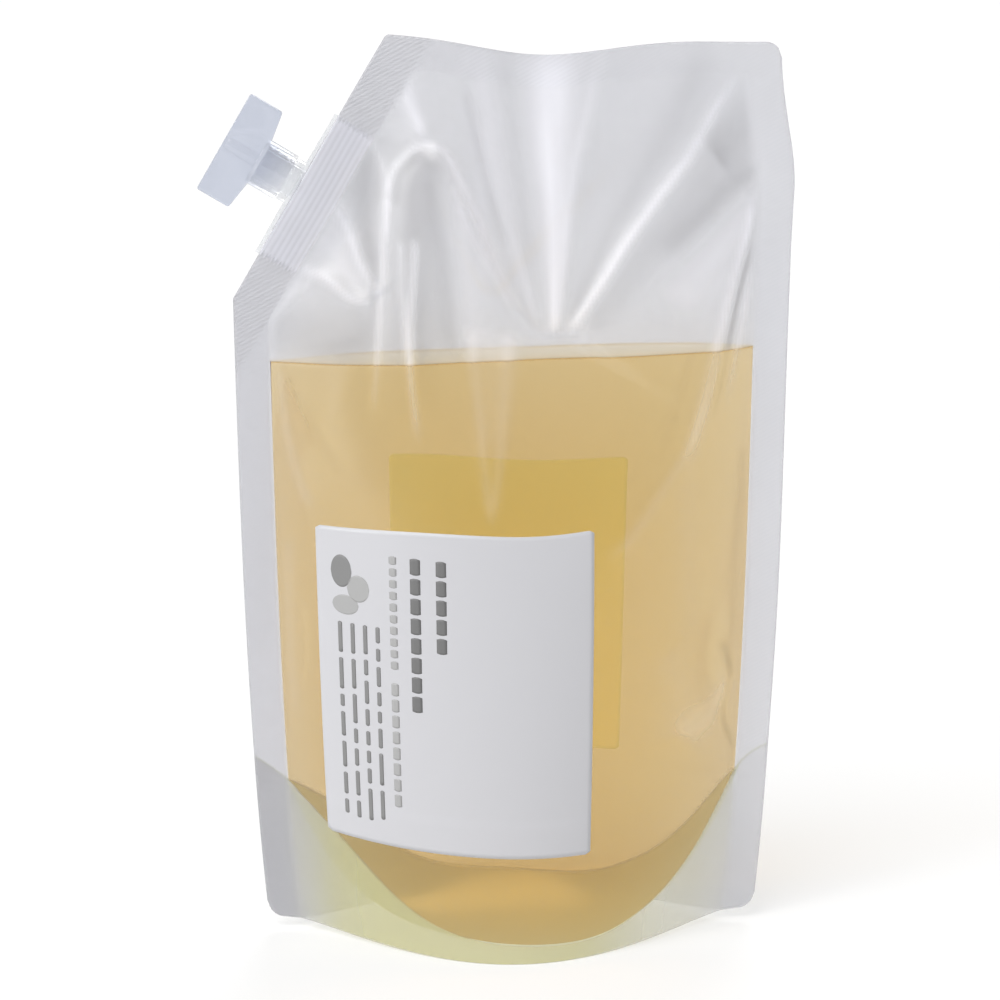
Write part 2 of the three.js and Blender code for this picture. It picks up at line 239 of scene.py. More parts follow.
# The caved-in top of a panel: (v, u) down its left and right rims, and the place and the share
# of the depth of the wide dent round its lower end.
FRONT_VALLEY = {
    "left": [(178, 8), (190, -1), (203, -8), (216, -14), (229, -22), (240, -28), (250, -32)],
    "right": [(178, 14), (192, 24), (204, 32), (216, 41), (227, 50), (240, 59), (250, 68)],
    "dent": (6, 178, 0.50),
}
BACK_RIDGE = [(-6, 184), (-8, 205), (-10, 246)]
BACK_PLEAT = [(-6, 184), (3, 196), (18, 212), (40, 232), (62, 250)]
BACK_RIGHT = [(70, 205), (58, 185), (49, 150), (44, 132)]
BACK_LEFT = [(-70, 172), (-60, 150), (-49, 128)]
BACK_FOLDS = [
    ("ridge", BACK_RIDGE, 1.6, 4.0, 0.05, 0.4),
    ("ridge", [(-6, 186), (8, 214), (20, 244)], 1.0, 4.0, 0.2, 0.4),
    ("pleat", BACK_PLEAT, 1.6, 8.0, 0.05, 0.3),
    ("ridge", BACK_RIGHT, 1.2, 3.6, 0.2, 0.4),
    ("ridge", BACK_LEFT, 1.2, 3.2, 0.2, 0.4),
    ("ridge", [(-62, 100), (-60, 80), (-64, 62)], -0.8, 2.5, 0.3, 0.3),
    ("ridge", [(64, 98), (61, 76), (66, 58)], -0.8, 2.5, 0.3, 0.3),
]
BACK_VALLEY = {
    "left": [(184, -6), (196, -14), (212, -22), (232, -26), (250, -27)],
    "right": [(184, -5.5), (196, 3), (212, 18), (232, 40), (250, 62)],
    "dent": (-2, 178, 0.42),
}

# A streak of painted highlight or painted shade is a route on the film, its half width at both
# ends, and how much lighter (or darker, below 0) it paints the film there, standing in for the light
# caught or lost along the folds.
FRONT_PAINTED_SHADING = [
    # the fan of flutes in the valley
    ([(11, 178), (12, 202), (12, 214), (11, 235), (11, 268)], 1.0, 9.0, 1.1),
    ([(8, 181), (3, 206), (0, 236), (-3, 266)], 1.2, 5.0, -0.18),
    ([(7, 181), (-1, 210), (-8, 246), (-11, 264)], 1.2, 4.5, 0.4),
    ([(-2, 203), (-8, 222), (-14, 250)], 1.2, 1.6, -0.3),
    ([(12, 180), (17, 223), (26, 262)], 1.2, 2.2, 0.35),
    ([(14, 181), (19, 191), (26, 205), (36, 221), (50, 243), (60, 262)], 1.5, 6.0, -0.28),
    (VALLEY_RIDGE, 1.5, 1.5, 0.8),
    ([(20, 180), (34, 197), (48, 213), (64, 234)], 4.0, 9.0, -0.28),
    ([(56, 226), (69, 235), (82, 236)], 7.0, 11.0, -0.45),
    # the finger under the arch
    (ARCH, 1.2, 1.2, 0.7),
    ([(-18, 221), (-13, 208), (-6, 196), (1, 183)], 1.2, 1.2, 0.35),
    ([(-28, 232), (-29, 205), (-29, 180), (-29, 150)], 7.0, 6.5, -0.5),
    ([(-35, 212), (-31, 222), (-25, 225), (-20, 219)], 3.5, 3.0, -0.3),
    ([(-24, 222), (-22, 208), (-20, 196), (-18, 168)], 2.4, 3.6, -0.35),
    ([(-28, 205), (-29, 190), (-30, 177), (-28, 145)], 1.2, 1.5, 1.0),
    ([(-32, 204), (-32, 190), (-31, 176), (-30, 155)], 1.2, 1.2, 0.6),
    ([(-16, 216), (-13, 194), (-10, 170)], 2.0, 4.0, 0.3),
    ([(-34, 256), (-30, 242), (-27, 235), (-24, 229)], 4.0, 1.4, 0.7),
    # the facets round the end of the spout
    ([(-43, 232), (-42, 207), (-39, 184)], 6.0, 2.0, -0.5),
    ([(-53, 215), (-47, 205), (-43, 195), (-37, 185)], 1.6, 1.6, 0.7),
    ([(-57, 205), (-50, 198), (-42, 188)], 6.0, 2.0, 0.45),
    ([(-66, 195), (-54, 191), (-46, 186), (-38, 186)], 1.6, 1.6, 0.7),
    ([(-80, 172), (-60, 176), (-34, 178)], 7.0, 7.5, -0.4),
    ([(-42, 234), (-36, 219), (-36, 200)], 1.2, 1.2, 0.45),
    ([(-76, 171), (-67, 182), (-58, 192)], 2.0, 2.0, 0.5),
    # the soft shine beside the label
    ([(50, 60), (50, 74), (44, 90)], 8.0, 5.0, 0.45),
    # the bulge under the kink of the right seal
    ([(80, 219), (70, 212), (60, 202), (50, 190), (44, 180)], 3.0, 8.0, 0.55),
    ([(73, 224), (62, 218), (53, 210), (40, 198)], 2.5, 4.5, -0.35),
    ([(71, 220), (67, 205), (63, 191), (59, 175), (53, 152), (49, 132)], 1.2, 2.4, 0.8),
    ([(72, 218), (69, 203), (65, 189), (62, 175), (57, 150)], 1.2, 1.4, -0.8),
    ([(73, 218), (71, 201), (68, 188), (65, 174), (61, 152)], 1.2, 1.6, 0.8),
    # slack film over the soap
    ([(62, 174), (52, 149), (42, 134), (31, 121), (21, 117)], 1.2, 1.8, 0.55),
    ([(-13, 182), (-10, 152), (-8, 124)], 2.0, 1.3, 0.5),
    ([(-1, 182), (-4, 152), (-8, 124)], 3.0, 1.3, 0.6),
    ([(-7, 182), (-8, 146)], 4.5, 2.0, 0.35),
    ([(-68, 166), (-64, 140), (-55, 116)], 1.3, 2.4, 0.6),
    ([(-66, 118), (-67, 90), (-66, 60)], 2.0, 2.0, 0.4),
    ([(-52, 176), (-44, 150), (-40, 128)], 9.0, 6.0, -0.35),
    ([(50, 138), (51, 112), (52, 82)], 4.0, 4.0, 0.3),
    ([(67, 145), (66, 105), (66, 74)], 1.6, 1.6, -0.5),
    ([(68, 74), (60, 67), (50, 58)], 4.0, 8.0, 0.8),
    ([(62, 88), (66, 75), (64, 64), (68, 54), (73, 46)], 1.2, 1.2, -1.2),
]
BACK_PAINTED_SHADING = [
    (BACK_RIDGE, 0.9, 5.0, 0.6),
    (BACK_PLEAT, 0.9, 1.4, 0.5),
    ([(-6, 184), (-14, 196), (-24, 214), (-27, 246)], 0.9, 1.4, 0.4),
    (BACK_RIGHT, 1.0, 2.0, 0.4),
    (BACK_LEFT, 1.0, 2.0, 0.4),
]


def side_of(side, front, back):
    return front if side < 0 else back


def folds_at(side, u, v):
    """The height that the folds of one panel add at each place."""
    height = np.zeros(u.shape)
    for kind, points, rise, width, fade_in, fade_out in side_of(side, FRONT_FOLDS, BACK_FOLDS):
        distance, share = measure(route(points), u, v)
        fade = smooth(0, fade_in, share) * (1 - smooth(1 - fade_out, 1, share))
        if kind == "ridge":
            shape = np.exp(-(np.hypot(distance, CREASE) - CREASE) / width)
        else:
            run = (distance + np.hypot(distance, CREASE)) / 2 / width
            shape = run * np.exp(1 - run)
        height += rise * shape * fade
    return height


def painted_shading_at(side, u, v):
    """How much lighter or darker the painted highlights and painted shade of one panel make each
    place.
    """
    tone = np.zeros(u.shape)
    for points, start, end, shade in side_of(side, FRONT_PAINTED_SHADING, BACK_PAINTED_SHADING):
        distance, share = measure(route(points), u, v)
        width = start + (end - start) * share
        fade = smooth(0, 0.08, share) * (1 - smooth(0.8, 1, share))
        tone += shade * np.exp(-(distance / width) ** 2) * fade
    return tone


def valley_at(side, u, v):
    """Share of the depth lost where the empty top of a panel has caved in."""
    valley = side_of(side, FRONT_VALLEY, BACK_VALLEY)
    left = np.interp(v, *zip(*valley["left"]))
    right = np.interp(v, *zip(*valley["right"]))
    across = np.clip((u - left) / np.maximum(right - left, 0.1), 0, 1)
    floor = 1 - np.abs(2 * across - 1) ** 2.6
    start = valley["left"][0][0]
    lost = floor * (0.22 * smooth(start, start + 8, v) + 0.30 * smooth(start, start + 34, v))
    dent_u, dent_v, dent = valley["dent"]
    around = dent * bump(u, dent_u, 56) * bump(v, dent_v, 34)
    return 1 - (1 - lost) * (1 - around)


def under_label(side, u, v):
    """Near 1 where a label holds the film smooth, and 0 away from it."""
    left, right, low, high = side_of(side, FRONT_LABEL, BACK_LABEL)
    across = smooth(left - 7, left, u) * (1 - smooth(right, right + 7, u))
    return across * smooth(low - 7, low, v) * (1 - smooth(high, high + 7, v))


def loose(side, u, v, belly):
    """Near 1 where the film is free to fold, and 0 at the seals, the spout and the labels."""
    _, inward = cut_place(u, v)
    free = smooth(0, 6, belly) * smooth(CUT_SEAL, CUT_SEAL + 6, inward)
    return free * (1 - 0.93 * under_label(side, u, v))


def inside_depth(side, u, v):
    """Distance from the middle surface to the inner face of the front (-1) or back (1)."""
    belly, boat = base_depth(u, v)
    height = folds_at(side, u, v) * loose(side, u, v, belly)
    belly = belly * (1 - valley_at(side, u, v))
    least, blend = np.minimum(1.6, 0.3 * belly), np.minimum(1.0, 0.3 * belly)
    shape = (belly + height + least + np.hypot(belly + height - least, blend)) / 2
    rest = 0.05 + (FILM + 0.05) * (1 - smooth(GUSSET_DEPTH + 1, GUSSET_DEPTH + 3, v))
    return rest + np.cbrt(shape**3 + boat**3)


def place(side, u, v, away=0.0):
    """Points of a panel's inner face, or of a surface away from it, outwards if positive."""
    y = middle(u, v) + side * (inside_depth(side, u, v) + away)
    return np.stack([film_x(u, v), y, film_z(u, v)], -1)


def corner_drop(u):
    """How far the round corners set the film's ends back."""
    inset = np.maximum(0, CORNER - (HALF - np.abs(u)))
    return CORNER - np.sqrt(CORNER**2 - inset**2)


def top_edge(u):
    share = (u - CUT_LOW[0]) / (CUT_HIGH[0] - CUT_LOW[0])
    cut = CUT_LOW[1] + share * (CUT_HIGH[1] - CUT_LOW[1])
    return np.minimum(cut, HEIGHT - np.where(u > 0, corner_drop(u), 0.0))


# ---- Meshes ----

def make_object(name, points, faces, attributes=None):
    mesh = bpy.data.meshes.new(name)
    mesh.from_pydata((np.asarray(points) * MM).tolist(), [], faces)
    for label, values in (attributes or {}).items():
        layer = mesh.attributes.new(label, "FLOAT", "POINT")
        layer.data.foreach_set("value", np.asarray(values, np.float32).ravel())
    mesh.validate()
    face_out(mesh)
    mesh.shade_smooth()
    piece = bpy.data.objects.new(name, mesh)
    bpy.context.scene.collection.objects.link(piece)
    return piece


def face_out(mesh):
    shape = bmesh.new()
    shape.from_mesh(mesh)
    if shape.calc_volume(signed=True) < 0:
        bmesh.ops.reverse_faces(shape, faces=shape.faces)
        shape.to_mesh(mesh)
    shape.free()


def there_and_back(first, second):
    """Loops that run along one face of a sheet and back along the other."""
    return np.concatenate([first, second[:, ::-1]], axis=1)


def crossing(x, front, back, share, z):
    """Points at shares, from -1 to 1, of the way from a front edge to a back edge."""
    y = (back + front) / 2 + share * (back - front) / 2
    return np.stack([np.broadcast_to(x, z.shape), y, z], -1)


def loft(name, loops, attributes=None):
    """A closed mesh through an array of closed loops, whose halves run opposite each other."""
    rows, count = loops.shape[:2]
    grid = np.arange(rows * count).reshape(rows, count)
    right = np.roll(grid, -1, axis=1)
    sides = np.stack([grid[:-1], right[:-1], right[1:], grid[1:]], -1).reshape(-1, 4)
    faces = sides.tolist()
    for j in range(count // 2 - 1):
        near, far = [j, j + 1, count - 2 - j, count - 1 - j], grid[-1]
        faces.append([int(grid[0][k]) for k in reversed(near)])
        faces.append([int(far[k]) for k in near])
    return make_object(name, loops.reshape(-1, 3), faces, attributes)


def finish_piece(piece, body, material_slot, material, *nodes):
    """Gives a piece its material, its body and the CAD nodes that it replaces. Labels cast no
    shadow, because the light that the soap scatters round them is not simulated."""
    piece.visible_shadow = material_slot != "label_paper"
    piece.data.materials.clear()
    piece.data.materials.append(material)
    if nodes:
        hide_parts(*nodes)
    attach(piece, body)


# ---- Films ----

MILKY, MILKY_WET = 0.42, 0.07    # share of the light that dry and soapy film scatters
RIM = 0.5                        # half width of the soft rim between two looks of the film


def film_looks(side, u, v):
    """How milky, light, hatched and ribbed the outer face of a film is, and where soap can wet
    it. The skirt is the film below the weld with the gusset, and its ears are at both sides."""
    along, inward = cut_place(u, v)
    weld = weld_height(u)
    cut = 1 - smooth(CUT_SEAL - RIM, CUT_SEAL + RIM, inward)
    seal = np.maximum(smooth(HALF - SIDE_SEAL - RIM, HALF - SIDE_SEAL + RIM, np.abs(u)),
                      smooth(HEIGHT - TOP_SEAL - RIM, HEIGHT - TOP_SEAL + RIM, v))
    seal = np.maximum(seal, cut)
    skirt = 1 - smooth(weld - 0.4, weld + 0.4, v)
    on_boat = cut * (1 - smooth(BOAT_LENGTH / 2 - 1, BOAT_LENGTH / 2, np.abs(along)))
    loosely = smooth(0, 3, HALF - SIDE_SEAL - np.abs(u)) * (1 - skirt)
    loosely = loosely * smooth(CUT_SEAL - 1, CUT_SEAL + 2, inward)
    loosely = loosely * (1 - 0.9 * under_label(side, u, v))
    ears = smooth(42, HALF - 4, np.abs(u))
    clearer = skirt * (1 - ears) * side_of(side, 0.2, 0.32)
    shaded = skirt * ears * smooth(0, HALF, -u)
    welded = (0.05 - 0.08 * u / HALF) * np.maximum(seal * (1 - skirt), ears * skirt)
    fill = (1 - seal) * (1 - skirt)
    return {
        "outer": np.ones(u.shape),
        "milky": MILKY + welded + 0.35 * on_boat - clearer,
        # tone: painted highlights and painted shade along the folds, the lighter foot, and the
        # painted shade of the left ear of the skirt
        "tone": painted_shading_at(side, u, v) * loosely + 0.36 * on_boat - 0.33 * shaded,
        "fill": fill,
        "line": fill * side_of(side, 1.0, 0.3),
        "hatch": seal * (1 - skirt) * (1 - on_boat) * (0.25 + 0.75 * cut),
        "ribs": on_boat,
    }


def panel(name, side):
    """One film panel, whose looks are marked on its outer face."""
    u = np.linspace(-HALF, HALF, COLUMNS)[:, None]
    low, high = corner_drop(u), top_edge(u)
    v = low + np.linspace(0, 1, ROWS)[None, :] * (high - low)
    u = np.broadcast_to(u, v.shape)
    looks = {key: there_and_back(np.zeros(u.shape), values)
             for key, values in film_looks(side, u, v).items()}
    return loft(name, there_and_back(place(side, u, v), place(side, u, v, FILM)), looks)


def hammock(u, weld_z, share):
    """Height of the film that the soap hangs in, at a share (-1 to 1) of the way across."""
    t = np.abs(u) / (HALF - SIDE_SEAL)
    lowest = np.minimum(44 * t**3.8 + 0.9, weld_z - 0.3)
    return np.maximum(0, lowest + (weld_z - lowest) * np.abs(share) ** 2.5)


def gusset_section(u, weld, inset, drop):
    """One face of the gusset at each column: front flap up, across, back flap down."""
    top = weld - drop
    rise = np.linspace(0, 1, FLAP_ROWS)[None, :]
    low = corner_drop(u)
    v = low + rise * (top - low)
    wide = np.broadcast_to(u, v.shape)
    front, back = place(-1, wide, v, -inset), place(1, wide, v, -inset)
    share = np.linspace(-1, 1, SPAN_ROWS + 2)[None, 1:-1]
    weld_z = film_z(u, top)
    z = np.minimum(hammock(u, weld_z, share) + (0 if drop else FILM), weld_z)
    span = crossing(film_x(u, top), front[:, -1:, 1], back[:, -1:, 1], share, z)
    return np.concatenate([front, span, back[:, ::-1]], axis=1)


def gusset():
    """The bottom film. Its outer face is marked where the flaps are painted with soap-coloured
    light, and keel where the soap rests on it."""
    u = np.linspace(-HALF + 0.4, HALF - 0.4, GUSSET_COLUMNS)[:, None]
    weld = weld_height(u)
    upper = gusset_section(u, weld, 0.05, 0.0)
    lower = gusset_section(u, weld, 0.05 + FILM, FILM)
    nothing = np.zeros(upper.shape[:2])
    # the painted soap light fades towards the seals and towards the right
    inside = 1 - smooth(HALF - SIDE_SEAL - 16, HALF - SIDE_SEAL + 5, np.abs(u))
    inside = inside * (1 - 0.65 * smooth(15, 50, u))
    parts = [FLAP_ROWS, SPAN_ROWS, FLAP_ROWS]
    looks = {"outer": nothing + 1, "painted_soap_light": inside * np.repeat([1.0, 0.0, 0.35], parts),
             "keel": nothing + np.repeat([0.0, 1.0, 0.0], parts)}
    looks = {key: there_and_back(nothing, values) for key, values in looks.items()}
    return loft("bottom_gusset_film", there_and_back(upper, lower), looks)


# ---- Soap ----

SOAP_GAP = 0.2               # between the soap and the film
MENISCUS, MENISCUS_REACH = 0.8, 0.9     # how far the soap climbs the film, and from how far


def soap():
    """The filling: its floor on the gusset, its front, its surface and its back, marked as wall
    except on the surface."""
    edge = HALF - SIDE_SEAL - 0.1
    t = np.linspace(-1, 1, 130)
    u = edge * (0.65 * t + 0.35 * np.sin(t * math.pi / 2))[:, None]
    low, high = weld_height(u) + 0.5, film_v(u, LEVEL_MIDDLE + LEVEL_LEAN * u)
    v = low + np.linspace(0, 1, 120)[None, :] * (high - low)
    wide = np.broadcast_to(u, v.shape)
    front, back = place(-1, wide, v, -SOAP_GAP), place(1, wide, v, -SOAP_GAP)
    weld_z = film_z(u, weld_height(u))
    share = np.linspace(0, 1, 16)[None, 1:-1]
    z = np.minimum(hammock(u, weld_z, share) + FILM, weld_z) + 0.15
    edges = film_x(u, low), front[:, :1, 1], back[:, :1, 1]
    floor = [crossing(*edges, side * share, z) for side in (-1, 1)]
    depth = np.linspace(0, 1, 14)[None, 1:-1, None]
    surface = front[:, -1:] + depth * (back[:, -1:] - front[:, -1:])
    near = np.minimum(surface[..., 1] - front[:, -1:, 1], back[:, -1:, 1] - surface[..., 1])
    surface[..., 2] += MENISCUS * np.exp(-near / MENISCUS_REACH) - MENISCUS
    loops = np.concatenate([floor[0], front, surface, back[:, ::-1], floor[1][:, ::-1]], axis=1)
    wall = [np.ones(part.shape[:2]) for part in (floor[0], front)]
    top = np.zeros(surface.shape[:2])
    return loft("soap_filling", loops, {"wall": np.concatenate([*wall, top, *wall[::-1]], axis=1)})


# ---- Labels ----

def label(name, side, left, right, low, high, lift, thickness, corner=0.8, steps=(60, 70), rise=0):
    """A sheet of paper or ink lying on a panel, with small round corners. Its top edge rises
    towards the right by a given height."""
    u = np.linspace(left, right, steps[0])[:, None]
    inset = np.maximum(0, corner - np.minimum(u - left, right - u))
    drop = corner - np.sqrt(np.maximum(0, corner**2 - inset**2))
    v = (low + drop) + np.linspace(0, 1, steps[1])[None, :] * (high - low - 2 * drop)
    v = v + rise * ((u - left) / (right - left) - 0.5) * (v - low) / (high - low)
    wide = np.broadcast_to(u, v.shape)
    inner = place(side, wide, v, FILM + lift)
    outer = place(side, wide, v, FILM + lift + thickness)
    faces = there_and_back(np.zeros(v.shape), np.ones(v.shape))
    return loft(name, there_and_back(inner, outer), {"outer": faces})


# Printed fields of the labels, all reading downwards. A title is its (left, right) on the film,
# its low and high ends and its number of blocks. A pebble is its middle and its two radii.
# Small print is lines of words, each line a pitch to the left of the last.
TITLES = [((-23.6, -20.6), 90.0, 117.0, 5), ((-31.0, -28.0), 72.5, 117.0, 8)]
SUBTITLE = [((-37.0, -34.8), 84.0, 117.0, 10), ((-37.0, -34.8), 44.0, 81.0, 8)]
SMALL_PRINT = {"first": -40.0, "pitch": -3.65, "width": 1.25, "low": 38.5, "high": 95.5, "lines": 4}
PEBBLES = [(-50.8, 110.0, 3.0, 4.6), (-46.0, 105.5, 3.2, 3.8), (-49.8, 100.5, 3.8, 2.8)]
BACK_PRINT = {"first": 12.0, "pitch": -5.0, "width": 1.4, "low": 54, "high": 112, "lines": 9}
LETTER_GAP, WORD_GAP, SHORTEST_WORD = 0.9, 1.5, 3.0


def letters(column, low, high, count):
    """A line of print as a row of equal blocks."""
    pitch = (high - low) / count
    return [(*column, low + i * pitch, low + (i + 1) * pitch - LETTER_GAP) for i in range(count)]


def words(rng, column, high, low, longest):
    """Splits a line of print into word-like bars of uneven length."""
    left, right = column
    bars = []
    while high - low > 2:
        length = min(high - low, rng.uniform(SHORTEST_WORD, longest))
        bars.append((left, right, high - length, high))
        high -= length + WORD_GAP
    return bars


def patches(name, side, shapes):
    """Thin fields of ink on a label, each given as (left, right, low, high), as one piece."""
    pieces = [label(name, side, *shape, lift=INK_LIFT, thickness=INK, corner=0.3, steps=(4, 8))
              for shape in shapes]
    return join(name, pieces)


def disc(name, side, u0, v0, half_u, half_v):
    u = np.linspace(-half_u, half_u, 26)[:, None]
    reach = half_v * np.sqrt(np.maximum(0.002, 1 - (u / half_u) ** 2))
    v = v0 + np.linspace(-1, 1, 14)[None, :] * reach
    wide = np.broadcast_to(u + u0, v.shape)
    inner = place(side, wide, v, FILM + INK_LIFT)
    outer = place(side, wide, v, FILM + INK_LIFT + INK)
    return loft(name, there_and_back(inner, outer))


def join(name, pieces):
    shape = bmesh.new()
    for piece in pieces:
        shape.from_mesh(piece.data)
        bpy.data.objects.remove(piece)
    mesh = bpy.data.meshes.new(name)
    shape.to_mesh(mesh)
    shape.free()
    mesh.shade_smooth()
    joined = bpy.data.objects.new(name, mesh)
    bpy.context.scene.collection.objects.link(joined)
    return joined


def front_print():
    """The front label's fields, each with its ink."""
    rng = random.Random(4)
    column = SMALL_PRINT["first"]
    small = []
    for _ in range(SMALL_PRINT["lines"]):
        span = (column - SMALL_PRINT["width"], column)
        small += words(rng, span, SMALL_PRINT["high"], SMALL_PRINT["low"], longest=10)
        column += SMALL_PRINT["pitch"]
    titles = [block for line in TITLES for block in letters(*line)]
    subtitle = [block for line in SUBTITLE for block in letters(*line)]
    dark = ink_material("dark_ink", 0.16)
    grey = ink_material("grey_ink", 0.22)
    pale = ink_material("pale_ink", 0.38)
    yield patches("title_print", -1, titles), dark
    yield patches("subtitle_print", -1, subtitle), pale
    yield patches("small_print", -1, small), grey
    yield disc("pebble_print_low", -1, *PEBBLES[2]), pale
    yield disc("pebble_print_left", -1, *PEBBLES[0]), grey
    yield disc("pebble_print_right", -1, *PEBBLES[1]), pale


def back_print():
    """The back label's lines of print, which end unevenly, with their ink."""
    rng = random.Random(9)
    bars = []
    for row in range(BACK_PRINT["lines"]):
        left = BACK_PRINT["first"] + row * BACK_PRINT["pitch"]
        low = BACK_PRINT["low"] + rng.uniform(0, 12)
        bars += words(rng, (left, left + BACK_PRINT["width"]), BACK_PRINT["high"], low, longest=14)
    yield patches("back_print", 1, bars), ink_material("back_ink", 0.30)


# ---- Spout and cap ----
# Both are made in the spout's own frame: z runs out along its axis, x along the cut.

def spout_frame():
    """The matrix from the spout's own frame to the pouch's."""
    x = Vector((AXIS[2], 0, -AXIS[0]))
    return Matrix.Translation(Vector(SEAT) * MM) @ Matrix(
        (x, Vector((0, 1, 0)), Vector(AXIS))).transposed().to_4x4()


def spin(name, profile, segments=96):
    """A closed turned solid: profile gives the (radius, height) loop at an angle."""
    angles = np.linspace(0, 2 * math.pi, segments, endpoint=False)
    rings = np.array([profile(a) for a in angles])
    x = rings[..., 0] * np.cos(angles)[:, None]
    y = rings[..., 0] * np.sin(angles)[:, None]
    points = np.stack([x, y, rings[..., 1]], -1)
    count = points.shape[1]
    grid = np.arange(segments * count).reshape(segments, count)
    turned = np.roll(grid, -1, axis=0)
    faces = np.stack([grid, np.roll(grid, -1, 1), np.roll(turned, -1, 1), turned], -1)
    return make_object(name, points.reshape(-1, 3), faces.reshape(-1, 4).tolist())


def rounded(corners, radius=0.35, steps=4):
    """A closed profile with its corners rounded off."""
    p = np.array(corners, float)
    out = []
    for before, corner, after in zip(np.roll(p, 1, 0), p, np.roll(p, -1, 0)):
        a, b = before - corner, after - corner
        reach = min(radius, np.linalg.norm(a) / 2.2, np.linalg.norm(b) / 2.2)
        start, end = (corner + d / np.linalg.norm(d) * reach for d in (a, b))
        for t in np.linspace(0, 1, steps):
            out.append((1 - t) ** 2 * start + 2 * t * (1 - t) * corner + t**2 * end)
    return np.array(out)


def combine(target, tool, operation):
    """Joins or cuts one solid with another, in place, and removes the tool."""
    step = target.modifiers.new("combine", "BOOLEAN")
    step.operation, step.object, step.solver = operation, tool, "EXACT"
    graph = bpy.context.evaluated_depsgraph_get()
    mesh = bpy.data.meshes.new_from_object(target.evaluated_get(graph))
    target.modifiers.clear()
    target.data = mesh
    bpy.data.objects.remove(tool)


def settle(piece, thin):
    """Moves a solid from the spout's frame to its place, marked thick outside a span of its
    axis, with crisp shading at its corners."""
    heights = np.array([vertex.co.z for vertex in piece.data.vertices]) / MM
    layer = piece.data.attributes.new("thick", "FLOAT", "POINT")
    low, high = thin
    thick = 1 - smooth(low - 1, low + 1, heights) * (1 - smooth(high - 1, high + 1, heights))
    layer.data.foreach_set("value", thick)
    piece.data.transform(spout_frame())
    piece.data.shade_smooth()
    piece.data.set_sharp_from_angle(angle=math.radians(40))
    return piece


def foot():
    """The welded foot, a boat shape with ribs that run along the cut."""
    x = np.linspace(-BOAT_LENGTH / 2, BOAT_LENGTH / 2, 72)[:, None]
    z = np.linspace(BOAT_FROM, BOAT_TO, 84)[None, :]
    groove = 0.5 - 0.5 * np.cos(2 * math.pi * (z - BOAT_TO) / (RIB_PITCH / MM))
    inside = smooth(BOAT_FROM + 0.6, BOAT_FROM + 1.6, z) * (1 - smooth(-0.6, 0.4, z))
    half = boat_half(x) - 0.4 * groove * inside * np.minimum(1, boat_half(x) / 2)
    wide, tall = np.broadcast_to(x, half.shape), np.broadcast_to(z, half.shape)
    front, back = (np.stack([wide, side * half, tall], -1) for side in (-1, 1))
    return loft("welded_spout", there_and_back(front, back))


def spout():
    """Foot, collar and threaded neck in one moulding, bored through."""
    body = foot()
    collar = [(BORE_RADIUS - 0.3, 0.4), (COLLAR_RADIUS, 0.4), (COLLAR_RADIUS, COLLAR_TO),
              (BORE_RADIUS - 0.3, COLLAR_TO)]
    combine(body, spin("collar", lambda a: rounded(collar)), "UNION")
    neck_z = np.linspace(COLLAR_TO - 0.3, NECK_TO, 70)

    def neck(angle):
        turn = (neck_z - 5.2) / THREAD_PITCH - angle / (2 * math.pi)
        starts = smooth(THREAD_FROM, THREAD_FROM + 0.6, neck_z)
        ends = starts * (1 - smooth(THREAD_TO - 0.6, THREAD_TO, neck_z))
        thread = THREAD_RISE * np.maximum(0, np.cos(2 * math.pi * turn)) ** 2 * ends
        chamfer = 0.4 * smooth(NECK_TO - 0.5, NECK_TO, neck_z)
        outside = np.stack([NECK_RADIUS - 0.3 + thread - chamfer, neck_z], -1)
        inside = [(BORE_RADIUS - 0.2, NECK_TO), (BORE_RADIUS - 0.2, COLLAR_TO - 0.3)]
        return np.vstack([outside, inside])

    combine(body, spin("neck", neck), "UNION")
    bore = [(0.01, BOAT_FROM - 2), (BORE_RADIUS, BOAT_FROM - 2), (BORE_RADIUS, NECK_TO + 2),
            (0.01, NECK_TO + 2)]
    combine(body, spin("bore", lambda a: np.array(bore)), "DIFFERENCE")
    return settle(body, (BOAT_TO + 1, NECK_TO + 5))


def cap():
    """Skirt, wing handle and the boss in the wing's middle, in one moulding."""
    skirt = [(0.01, SKIRT_ROOF), (SKIRT_BORE, SKIRT_ROOF), (SKIRT_BORE, SKIRT_FROM),
             (SKIRT_RADIUS, SKIRT_FROM), (SKIRT_RADIUS, WING_ROOT + 1.2), (0.01, WING_ROOT + 1.2)]
    body = spin("winged_cap", lambda a: rounded(skirt))
    outline = rounded([(-SKIRT_RADIUS + 0.4, WING_ROOT), (SKIRT_RADIUS - 0.4, WING_ROOT),
                       (WING_HALF, WING_TIP), (WING_HALF, WING_TO), (-WING_HALF, WING_TO),
                       (-WING_HALF, WING_TIP)], 0.8, 6)
    combine(body, plate(outline, WING_THICK / 2, 0.45), "UNION")
    boss = [(0.01, WING_ROOT - 0.5), (BOSS_RADIUS + 0.3, WING_ROOT - 0.5),
            (BOSS_RADIUS, WING_ROOT + 3), (BOSS_RADIUS, BOSS_TO), (0.01, BOSS_TO + 0.25)]
    combine(body, spin("boss", lambda a: rounded(boss, 1.2, 6), 64), "UNION")
    return settle(body, (SKIRT_FROM - 5, WING_ROOT))


def plate(outline, half, edge):
    """A flat plate of an outline in x and z, with its rims rounded over."""
    centre = outline.mean(0)
    rings = []
    for angle in np.linspace(-90, 90, 9):
        turn = math.radians(angle)
        inset = edge * (1 - math.cos(turn))
        y = (half - edge) * np.sign(angle) + edge * math.sin(turn)
        away = outline - centre
        length = np.linalg.norm(away, axis=1, keepdims=True)
        flat = centre + away * (1 - inset / length)
        rings.append(np.insert(flat, 1, y, axis=1))
    count = len(outline)
    faces = [[i * count + j, i * count + (j + 1) % count, (i + 1) * count + (j + 1) % count,
              (i + 1) * count + j] for i in range(len(rings) - 1) for j in range(count)]
    faces.append(list(reversed(range(count))))
    faces.append([(len(rings) - 1) * count + j for j in range(count)])
    return make_object("plate", np.vstack(rings), faces)


# ---- Materials ----

